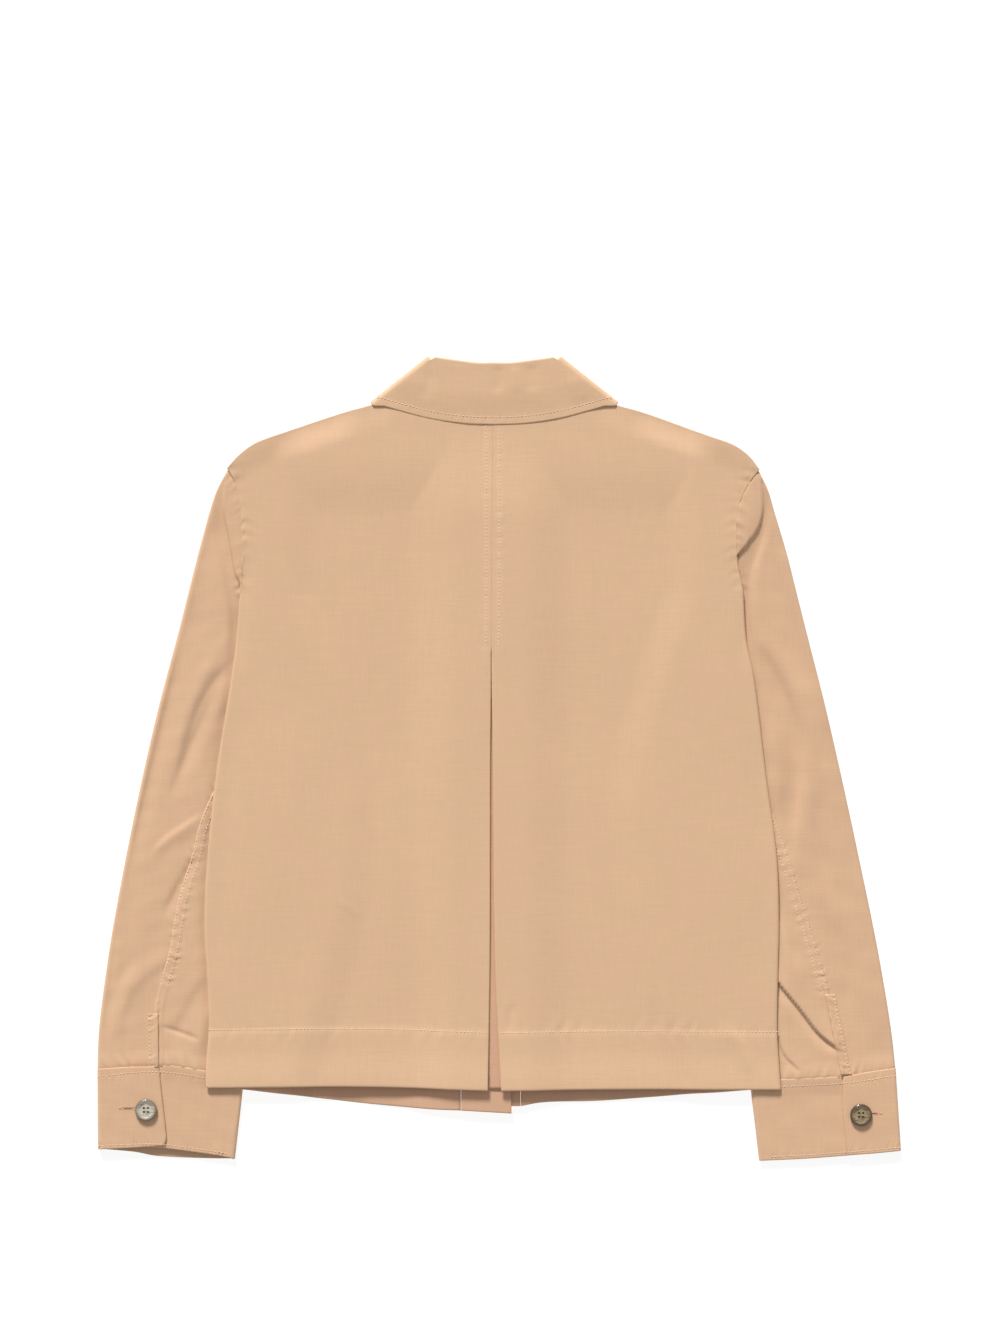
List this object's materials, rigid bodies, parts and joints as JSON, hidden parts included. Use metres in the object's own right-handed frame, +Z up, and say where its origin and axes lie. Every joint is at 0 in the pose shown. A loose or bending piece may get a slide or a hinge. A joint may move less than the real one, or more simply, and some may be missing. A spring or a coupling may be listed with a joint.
{
  "type": "cropped overshirt laid face down",
  "caption": "Cropped camel cotton overshirt laid face down: pointed collar, back seam opening into an inverted pleat, sleeves at its sides, buttoned cuffs.",
  "frame": {"origin": "centre of the bounding box's bottom, on the surface that the overshirt lies on", "axes": "+Z up out of the garment's back, +Y from the hem towards the collar, +X towards the wearer's right sleeve"},
  "size_m": [0.6922, 0.6936, 0.0104],
  "materials": {
    "cotton": "plain woven cotton, matt, soft slub",
    "cotton_inside": "the same cotton in the depth of the pleat",
    "horn_button": "polished brown horn with a light middle",
    "pearl_button": "polished greyish pearl with a brown rim"
  },
  "bodies": {
    "root": {"back_left": "cotton", "back_right": "cotton", "front_left": "cotton", "front_right": "cotton", "placket_left": "cotton", "placket_right": "cotton", "collar_leaf": "cotton", "collar_stand": "cotton", "sleeve_upper_left": "cotton", "sleeve_under_left": "cotton", "sleeve_upper_right": "cotton", "sleeve_under_right": "cotton", "sleeve_placket_left": "cotton", "sleeve_placket_right": "cotton", "cuff_left": "cotton", "cuff_right": "cotton", "pleat_underlay": "cotton_inside", "cuff_button_left": "pearl_button", "cuff_button_right": "horn_button", "front_button_1": "horn_button", "front_button_2": "horn_button", "front_button_3": "horn_button", "front_button_4": "horn_button", "front_button_5": "horn_button", "front_button_6": "horn_button"}
  },
  "joints": []
}
